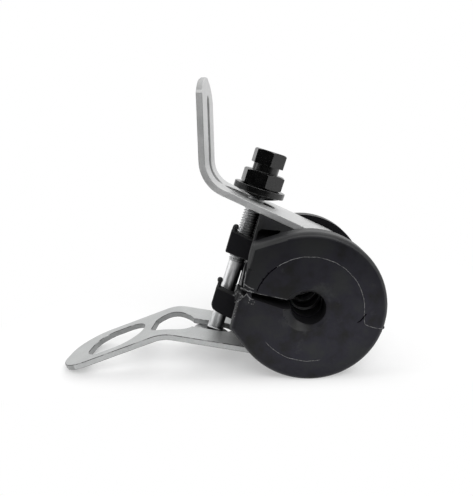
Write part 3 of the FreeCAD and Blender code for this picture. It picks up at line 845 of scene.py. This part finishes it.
NECK_SHADOW = (-31.2, -31.6)
NECK_SHADOW_FROM = -33.4
RUBBER_SIDE_SHADE = (-32.9, -31.0)
JAW_TOP = (30.0, 27.0)
LOW_SHANK = (4.0, -7.0)
SIDE_SHADE_WIDER = 1.3
GROOVE_PAINTED_SHADE = (0.5, 0.5, 0.5)
GROOVE_FROM = 0.1
GROOVE_DEPTH = 0.65


def bright_zinc():
    material, tree, shader, place = new_material("zinc_plated_steel")
    spot = axes(tree, place)
    cloud = noise(tree, place, *PLATE_CLOUDS)
    tone = ramp(tree, cloud, PLATE_TONES)
    side = figure(tree, "SUBTRACT", figure(tree, "MULTIPLY", spot["X"], TILT_COS),
                  figure(tree, "MULTIPLY", spot["Z"], TILT_SIN))
    level = figure(tree, "ADD", figure(tree, "MULTIPLY", spot["X"], TILT_SIN),
                   figure(tree, "MULTIPLY", spot["Z"], TILT_COS))
    # Painted shade on the side towards the rubber, wider low down by the clip, and a painted shadow at
    # the foot of the neck.
    wider = figure(tree, "MULTIPLY", fade(tree, level, *LOW_SHANK), SIDE_SHADE_WIDER * MM)
    side_shade = fade(tree, figure(tree, "ADD", side, wider), *RUBBER_SIDE_SHADE)
    side_shade = figure(tree, "MULTIPLY", side_shade, fade(tree, level, *JAW_TOP))
    above_head = figure(tree, "GREATER_THAN", level, NECK_SHADOW_FROM * MM)
    shade_mask = figure(tree, "MULTIPLY", fade(tree, level, *NECK_SHADOW), above_head)
    tone = mix_colour(tree, figure(tree, "MAXIMUM", shade_mask, side_shade), tone, ZINC_PAINTED_SHADE)
    # Painted shade deep in the thread's grooves.
    tone = mix_colour(tree, mark(tree, "groove"), tone, GROOVE_PAINTED_SHADE, "MULTIPLY")
    tree.links.new(tone, shader.inputs["Base Color"])
    tree.links.new(ramp(tree, cloud, PLATE_ROUGH), shader.inputs["Roughness"])
    shader.inputs["Metallic"].default_value = PLATE_METAL
    return material


def thread_tree():
    """A closed bar with a helical thread, from a flat grid wound round the axis. Each turn has
    four rows, two at the crest and two at the root. Rows past the ends fall together, so the
    thread runs out into the cones. Two rows close the foot and one the top."""
    wires = Wiring("screw thread", (("Crest Radius", "Float"), ("Root Radius", "Float"),
                                    ("Shank Radius", "Float"), ("Point Radius", "Float"),
                                    ("Pitch", "Float"), ("Low", "Float"), ("High", "Float"),
                                    ("Foot", "Float"), ("Columns", "Int"), ("Rows", "Int")))
    given = wires.given
    low, high = given["Low"], given["High"]
    crest, root, shank = given["Crest Radius"], given["Root Radius"], given["Shank Radius"]
    total = wires.sum("ADD", given["Rows"], FOOT_ROWS + TOP_ROWS)
    top_row = wires.sum("SUBTRACT", total, TOP_ROWS)
    grid = wires.node("GeometryNodeMeshGrid", Size_X=1.0, Size_Y=1.0, Vertices_Y=total,
                      Vertices_X=wires.sum("ADD", given["Columns"], 1.0))
    here = wires.node("GeometryNodeInputPosition").outputs[0]
    place = wires.node("ShaderNodeSeparateXYZ", Vector=here).outputs
    turn = wires.sum("ADD", place["X"], 0.5)
    row = wires.sum("ROUND", wires.sum("MULTIPLY", wires.sum("ADD", place["Y"], 0.5), top_row))
    step = wires.sum("SUBTRACT", row, FOOT_ROWS)
    lap = wires.sum("FLOOR", wires.sum("DIVIDE", wires.sum("ADD", step, 0.5), TURN_ROWS))
    part = wires.sum("SUBTRACT", step, wires.sum("MULTIPLY", lap, TURN_ROWS))
    rise = wires.choose(part, *THREAD_SHARES)
    turns = wires.sum("ADD", wires.sum("ADD", lap, rise), wires.sum("SUBTRACT", turn, 1.0))
    z = wires.sum("ADD", wires.sum("MULTIPLY", turns, given["Pitch"]), low)
    z = wires.sum("MINIMUM", wires.sum("MAXIMUM", z, low), high)
    above = wires.sum("SUBTRACT", z, low)
    below = wires.sum("SUBTRACT", high, z)
    r = wires.choose(part, crest, crest, root, root)
    r = wires.sum("MINIMUM", r, wires.sum("ADD", shank, above))
    r = wires.sum("MAXIMUM", r, wires.sum("SUBTRACT", shank, above))
    r = wires.sum("MINIMUM", r, wires.sum("ADD", given["Point Radius"], below))
    end = wires.sum("MINIMUM", row, FOOT_ROWS)
    z = wires.choose(end, given["Foot"], given["Foot"], z)
    r = wires.choose(end, 0.0, shank, r)
    last = wires.sum("COMPARE", row, top_row, 0.5)
    z = wires.choose(last, z, high)
    r = wires.choose(last, r, 0.0)
    angle = wires.sum("MULTIPLY", turn, math.tau)
    x = wires.sum("MULTIPLY", r, wires.sum("COSINE", angle))
    y = wires.sum("MULTIPLY", r, wires.sum("SINE", angle))
    spot = wires.node("ShaderNodeCombineXYZ", X=x, Y=y, Z=z)
    moved = wires.node("GeometryNodeSetPosition", Geometry=grid.outputs[0], Position=spot.outputs[0])
    joined = wires.node("GeometryNodeMergeByDistance", Geometry=moved.outputs[0], Distance=WELD * MM)
    wires.finish(joined.outputs[0])
    return wires


def on_bolt():
    """Turns a mesh drawn upright about the bolt's axis into place."""
    tilt = Matrix.Rotation(REST_TILT, 4, "Y")
    lean = Matrix.Rotation(BOLT_LEAN, 4, "Y")
    return tilt @ Matrix.Translation((BOLT_X * MM, 0.0, 0.0)) @ lean


def close_outward(shape):
    """Merges what lies in one spot and turns every face outwards."""
    bmesh.ops.remove_doubles(shape, verts=shape.verts, dist=CLOSE_UP * MM)
    bmesh.ops.recalc_face_normals(shape, faces=shape.faces)


def round_axis(r, z, angle):
    """A spot at a radius, a height and an angle about the bolt's axis."""
    return r * MM * math.cos(angle), r * MM * math.sin(angle), z * MM


def skin(shape, low, high, sides):
    """Faces between two rings of vertices. A ring of one is a pole, and counts once."""
    for k in range(sides):
        j = (k + 1) % sides
        corners = [low[k % len(low)], low[j % len(low)], high[j % len(high)], high[k % len(high)]]
        shape.faces.new(dict.fromkeys(corners))


def lathe(shape, profile, sides):
    """Adds a turned body, from (radius, height) points. A radius of 0 is a pole."""
    rings = []
    for r, z in profile:
        count = sides if r else 1
        spots = [round_axis(r, z, math.tau * k / sides) for k in range(count)]
        rings.append([shape.verts.new(spot) for spot in spots])
    for low, high in zip(rings[:-1], rings[1:]):
        skin(shape, low, high, sides)


def cup_profile():
    """Cup head from the crown up, and its flat upper face."""
    rise = HEAD_H - HEAD_RIM
    ball = (HEAD_R ** 2 + rise ** 2) / (2 * rise)
    low = SEAT_Z - HEAD_H
    arc = [HEAD_R * CROWN_SHARE * k / CROWN_STEPS for k in range(1, CROWN_STEPS + 1)]
    side = [(0.0, low)] + [(r, low + ball - math.sqrt(ball ** 2 - r ** 2)) for r in arc]
    side += [(HEAD_R, SEAT_Z - HEAD_RIM), (HEAD_R, SEAT_Z - HEAD_EDGE)]
    return side + [(HEAD_R - HEAD_EDGE, SEAT_Z), (0.0, SEAT_Z)]


def add_neck(shape):
    """The square neck, from a little inside the head up."""
    low = SEAT_Z - NECK_SINK
    high = SEAT_Z + NECK_LEN
    place = Matrix.Translation((0.0, 0.0, (low + high) / 2 * MM))
    place = place @ Matrix.Diagonal((NECK_SQ * MM, NECK_SQ * MM, (high - low) * MM, 1.0))
    neck = bmesh.ops.create_cube(shape, size=1.0, matrix=place)["verts"]
    edges = {edge for vert in neck for edge in vert.link_edges}
    bmesh.ops.bevel(shape, geom=list(edges), offset=NECK_ROUND * MM, segments=3, affect="EDGES",
                    profile=0.5)


def in_groove(middle, normal):
    """How deep a face lies in the thread."""
    spot = off_bolt @ (middle * MM) / MM
    if spot.z <= THREAD_LOW:
        return 0.0
    deep = CREST_R - GROOVE_FROM - math.hypot(spot.x, spot.y)
    return min(1.0, max(0.0, deep / GROOVE_DEPTH))


def bolt_piece():
    piece = path_mesh("bolt_threaded", [])
    rows = int(TURN_ROWS) * (int((BOLT_TOP - THREAD_LOW) / PITCH) + SPARE_TURNS)
    mesh = thread_tree().make(piece, Crest_Radius=CREST_R * MM, Root_Radius=ROOT_R * MM,
                              Shank_Radius=SHANK_R * MM, Point_Radius=POINT_R * MM,
                              Pitch=PITCH * MM, Low=THREAD_LOW * MM, High=BOLT_TOP * MM,
                              Foot=(SEAT_Z + SHANK_SINK) * MM, Columns=THREAD_COLUMNS,
                              Rows=rows, Material=bright_zinc())
    shape = bmesh.new()
    shape.from_mesh(mesh)
    close_outward(shape)
    lathe(shape, cup_profile(), HEAD_SIDES)
    add_neck(shape)
    shape.transform(on_bolt())
    bmesh.ops.recalc_face_normals(shape, faces=shape.faces)
    shape.to_mesh(mesh)
    shape.free()
    mesh.shade_smooth()
    mesh.set_sharp_from_angle(angle=math.radians(BOLT_CRISP))
    mark_faces(mesh, "groove", in_groove)
    return piece


off_bolt = on_bolt().inverted()
bolt = bolt_piece()
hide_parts("bolt")
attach(bolt, "root")

# washer
# A thick domed washer of black coated steel. Its round underside lets the nut sit square on
# the bolt although the strap slopes. The coat is worn to grey along the edges.

WASHER_Z = 34.677
WASHER_R = 11.9
WASHER_H = 2.8
WASHER_HOLE_R = 4.3
DOME_R = 10.9
DOME_H = 2.75
DOME_STEPS = 6
WASHER_SIDES = 96
WASHER_EDGE = 0.22
TURNED_STEPS = 3
TURNED_SHARP = 25
COAT_DARK = (0.0012, 0.0012, 0.0013)
COAT_PALE = (0.0025, 0.0025, 0.0026)
COAT_WORN = (0.10, 0.10, 0.10)
COAT_CLOUDS = (350.0, 3.0, 0.6)
COAT_TONES = ((0.3, COAT_DARK), (0.7, COAT_PALE))
COAT_ROUGH = ((0.3, 0.22), (0.7, 0.30))
COAT_BUMP = (0.05, 0.03)
WEAR_PATCHES = (1100.0, 2.0, 0.6)
WEAR_SHARES = ((0.42, 0.0), (0.62, 1.0))


def black_coat():
    material, tree, shader, place = new_material("black_coated_steel")
    cloud = noise(tree, place, *COAT_CLOUDS)
    patchy = ramp(tree, noise(tree, place, *WEAR_PATCHES), WEAR_SHARES)
    rubbed = figure(tree, "MULTIPLY", mark(tree, "worn"), patchy)
    tone = mix_colour(tree, rubbed, ramp(tree, cloud, COAT_TONES), COAT_WORN)
    tree.links.new(tone, shader.inputs["Base Color"])
    tree.links.new(ramp(tree, cloud, COAT_ROUGH), shader.inputs["Roughness"])
    bump(tree, shader, cloud, *COAT_BUMP)
    return material


def washer_profile():
    """(radius, height) points from the hole out over the dome, up the rim and back in."""
    ball = (DOME_R ** 2 + DOME_H ** 2) / (2 * DOME_H)
    span = DOME_R - WASHER_HOLE_R
    radii = [WASHER_HOLE_R + span * k / DOME_STEPS for k in range(DOME_STEPS + 1)]
    side = [(r, ball - math.sqrt(ball ** 2 - r ** 2)) for r in radii]
    side += [(WASHER_R, DOME_H), (WASHER_R, DOME_H + WASHER_H), (WASHER_HOLE_R, DOME_H + WASHER_H)]
    return [(r, z + WASHER_Z) for r, z in side]


def fastener_piece(name, shape):
    """A closed shape drawn about the bolt's axis, put in place with its faces outwards."""
    shape.transform(on_bolt())
    bmesh.ops.recalc_face_normals(shape, faces=shape.faces)
    mesh = bpy.data.meshes.new(name)
    shape.to_mesh(mesh)
    shape.free()
    return new_piece(name, mesh)


def washer_piece():
    profile = washer_profile()
    shape = bmesh.new()
    lathe(shape, profile + profile[:1], WASHER_SIDES)
    close_outward(shape)
    return fastener_piece("washer_domed", shape)


COAT = black_coat()
washer = washer_piece()
rounded(washer, WASHER_EDGE, TURNED_STEPS, TURNED_SHARP)
settle(washer, COAT)
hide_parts("seat_washer")
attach(washer, "washer")

# nut
# A shear nut of black coated steel, turned from hexagon bar: the lower hexagon carries the
# thread, and the upper one snaps off at the thin neck when the clamp is tight.

NUT_Z = 40.327
NUT_FLATS = 17.5
NUT_H = 6.8
NUT_NECK_R = 6.0
NUT_NECK_H = 3.1
NUT_HOLE_R = 4.05
DRIVE_FLATS = 13.6
DRIVE_H = 6.4
DRIVE_HOLE_R = 4.3
NUT_TURN = math.radians(41.0)
SHOULDER = math.tan(math.radians(26.0))
SHOULDER_SHARE = 0.985
NUT_EDGE = 0.13
NUT_CRISP = 24
SIDES = 6
PER_SIDE = 12
AROUND = SIDES * PER_SIDE


def hexagon_ring(flats, height, cone_r, sign):
    """(radius, height) all round a hexagon's edge where a cone takes its corners down."""
    ring = []
    for k in range(AROUND):
        share = (k % PER_SIDE) / PER_SIDE
        r = flats / 2 / math.cos(math.pi / SIDES * (2 * share - 1))
        ring.append((r, height - sign * max(0.0, r - cone_r) * SHOULDER))
    return ring


def round_ring(r, height):
    return [(r, height)] * AROUND


def nut_rings():
    """Rings from the hole's foot out over the lower hexagon, up past neck and upper hexagon,
    and back down the hole. The upper hexagon's foot keeps its sharp corners."""
    cone = NUT_FLATS / 2 * SHOULDER_SHARE
    drive_cone = DRIVE_FLATS / 2 * SHOULDER_SHARE
    z1 = NUT_Z + NUT_H
    z2 = z1 + NUT_NECK_H
    z3 = z2 + DRIVE_H
    return [
        round_ring(NUT_HOLE_R, NUT_Z),
        round_ring(cone, NUT_Z),
        hexagon_ring(NUT_FLATS, NUT_Z, cone, -1),
        hexagon_ring(NUT_FLATS, z1, cone, 1),
        round_ring(cone, z1),
        round_ring(NUT_NECK_R, z1),
        round_ring(NUT_NECK_R, z2),
        hexagon_ring(DRIVE_FLATS, z2, DRIVE_FLATS, 1),
        hexagon_ring(DRIVE_FLATS, z3, drive_cone, 1),
        round_ring(drive_cone, z3),
        round_ring(DRIVE_HOLE_R, z3),
        round_ring(DRIVE_HOLE_R, z1),
        round_ring(NUT_HOLE_R, z1),
    ]


def nut_piece():
    shape = bmesh.new()
    loops = []
    for ring in nut_rings():
        spots = [round_axis(r, z, NUT_TURN + math.tau * k / AROUND) for k, (r, z) in enumerate(ring)]
        loops.append([shape.verts.new(spot) for spot in spots])
    for low, high in zip(loops, loops[1:] + loops[:1]):
        skin(shape, low, high, AROUND)
    return fastener_piece("nut_turned", shape)


nut = nut_piece()
rounded(nut, NUT_EDGE, TURNED_STEPS, TURNED_SHARP)
settle(nut, COAT, NUT_CRISP)
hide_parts("shear_nut")
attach(nut, "nut")

# table and light
# A white studio table that fades into a white background, lit from above and from the back
# and the sides, with the camera's side dark, so that faces turned to the camera go grey.

FLOOR_Z = round(solid_box[0][2], 6)
TABLE_HALF = 3.0
TABLE_LIFT = 0.08
TABLE_GLOW = 0.30
WHITE_ROUND = (0.09, 0.20)
WHITE_AHEAD = (-0.015, -0.040)
PAPER_TONE = 0.93
CLOTH_EDGE = (-0.22, -0.10)
CLOTH_TONE = 0.03
FRONT_TO_BACK = (-0.75, 0.60)
DARK_FRONT = 0.02
BRIGHT_BACK = 1.10
LEFT_TO_RIGHT = (-0.70, 0.30)
LEFT_SHARE = 0.80
RIGHT_SHARE = 0.95
SOFTBOXES = (
    ("box_top", (0.12, 0.25, 0.70), (0.8, 0.8), 1.6),
    ("box_front", (0.20, -0.50, 0.48), (0.6, 0.4), 3.4),
    ("box_left", (-0.75, -0.05, 0.30), (0.5, 0.6), 1.8),
)


def span_to(tree, value, span, low, high, smooth="SMOOTHSTEP"):
    """From low to high as a value crosses a span, and held past it."""
    node = tree.nodes.new("ShaderNodeMapRange")
    node.interpolation_type = smooth
    numbers = {"From Min": span[0], "From Max": span[1], "To Min": low, "To Max": high}
    for key, number in numbers.items():
        node.inputs[key].default_value = number
    tree.links.new(value, node.inputs["Value"])
    return node.outputs["Result"]


def white_table():
    """White paper that the camera sees fade into pure white away from the clamp. To the clamp
    it glows a little, and is dark on the camera's side, where a black cloth would lie."""
    material = bpy.data.materials.new("table_white")
    material.use_nodes = True
    tree = material.node_tree
    tree.nodes.clear()
    spot = axes(tree, tree.nodes.new("ShaderNodeTexCoord").outputs["Object"])
    seen = tree.nodes.new("ShaderNodeLightPath").outputs["Is Camera Ray"]
    out = distance(tree, spot["X"], spot["Y"], spot["Z"])
    share = span_to(tree, out, WHITE_ROUND, TABLE_LIFT, 1.0, "LINEAR")
    share = figure(tree, "MAXIMUM", share, span_to(tree, spot["Y"], WHITE_AHEAD, 0.0, 1.0))
    share = figure(tree, "MULTIPLY", share, seen)
    share = figure(tree, "MAXIMUM", share, span_to(tree, spot["Y"], CLOTH_EDGE, 0.0, TABLE_GLOW))
    tone = span_to(tree, spot["Y"], CLOTH_EDGE, CLOTH_TONE, PAPER_TONE)
    tone = figure(tree, "MAXIMUM", tone, figure(tree, "MULTIPLY", seen, PAPER_TONE))
    paper = tree.nodes.new("ShaderNodeBsdfDiffuse")
    tree.links.new(tone, paper.inputs["Color"])
    glow = tree.nodes.new("ShaderNodeEmission")
    blend = tree.nodes.new("ShaderNodeMixShader")
    tree.links.new(share, blend.inputs["Fac"])
    tree.links.new(paper.outputs["BSDF"], blend.inputs[1])
    tree.links.new(glow.outputs["Emission"], blend.inputs[2])
    surface = tree.nodes.new("ShaderNodeOutputMaterial").inputs["Surface"]
    tree.links.new(blend.outputs["Shader"], surface)
    return material


table_mesh = bpy.data.meshes.new("table")
corners = [(x * TABLE_HALF, y * TABLE_HALF, FLOOR_Z) for x, y in ((-1, -1), (1, -1), (1, 1), (-1, 1))]
table_mesh.from_pydata(corners, [], [(0, 1, 2, 3)])
table_mesh.materials.append(white_table())
table = new_piece("table", table_mesh)


def studio_world():
    """Pure white to the camera, but dark in front and bright behind as the clamp sees it."""
    world = bpy.data.worlds.new("studio")
    bpy.context.scene.world = world
    world.use_nodes = True
    tree = world.node_tree
    tree.nodes.clear()
    way = axes(tree, tree.nodes.new("ShaderNodeTexCoord").outputs["Generated"])
    front = span_to(tree, way["Y"], FRONT_TO_BACK, DARK_FRONT, BRIGHT_BACK)
    side = span_to(tree, way["X"], LEFT_TO_RIGHT, LEFT_SHARE, RIGHT_SHARE)
    mixer = tree.nodes.new("ShaderNodeMix")
    mixer.data_type = "FLOAT"
    seen = tree.nodes.new("ShaderNodeLightPath").outputs["Is Camera Ray"]
    tree.links.new(seen, mixer.inputs[0])
    tree.links.new(figure(tree, "MULTIPLY", front, side), mixer.inputs[2])
    mixer.inputs[3].default_value = 1.0
    back = tree.nodes.new("ShaderNodeBackground")
    back.inputs["Color"].default_value = (1.0, 1.0, 1.0, 1.0)
    tree.links.new(mixer.outputs[0], back.inputs["Strength"])
    surface = tree.nodes.new("ShaderNodeOutputWorld").inputs["Surface"]
    tree.links.new(back.outputs["Background"], surface)


def softbox(name, place, size, power):
    """A lamp behind a stretched cloth, turned to the clamp."""
    data = bpy.data.lights.new(name, "AREA")
    data.shape = "RECTANGLE"
    data.size = size[0]
    data.size_y = size[1]
    data.energy = power
    lamp = new_piece(name, data)
    lamp.location = place
    lamp.rotation_euler = (-Vector(place)).to_track_quat("-Z", "Y").to_euler()


studio_world()
for box in SOFTBOXES:
    softbox(*box)

# camera
# Near the clamp and a little above it, turned slightly left, tipped down and rolled a little
# to one side.

CAMERA_AT = (-15.25 * MM, -201.32 * MM, 64.99 * MM)
YAW = math.radians(-4.366)
DOWN = math.radians(12.918)
ROLL = math.radians(-4.292)
SENSOR = 36.0
PICTURE_WIDTH = 473.0
FOCAL_PIXELS = 434.31
SHIFT = (0.0004, 0.0117)
NEAREST = 0.01

ahead = Vector((math.sin(YAW) * math.cos(DOWN), math.cos(YAW) * math.cos(DOWN), -math.sin(DOWN)))
level = Vector((math.cos(YAW), -math.sin(YAW), 0.0))
above = level.cross(ahead)
right = level * math.cos(ROLL) + above * math.sin(ROLL)
top = above * math.cos(ROLL) - level * math.sin(ROLL)
lens = bpy.data.cameras.new("camera")
lens.sensor_fit = "HORIZONTAL"
lens.sensor_width = SENSOR
lens.lens = SENSOR * (FOCAL_PIXELS / PICTURE_WIDTH)
lens.shift_x, lens.shift_y = SHIFT
lens.clip_start = NEAREST
camera = new_piece("camera", lens)
camera.matrix_world = Matrix.Translation(CAMERA_AT) @ Matrix((right, top, -ahead)).transposed().to_4x4()
bpy.context.scene.camera = camera
bpy.context.scene.view_settings.view_transform = "Standard"
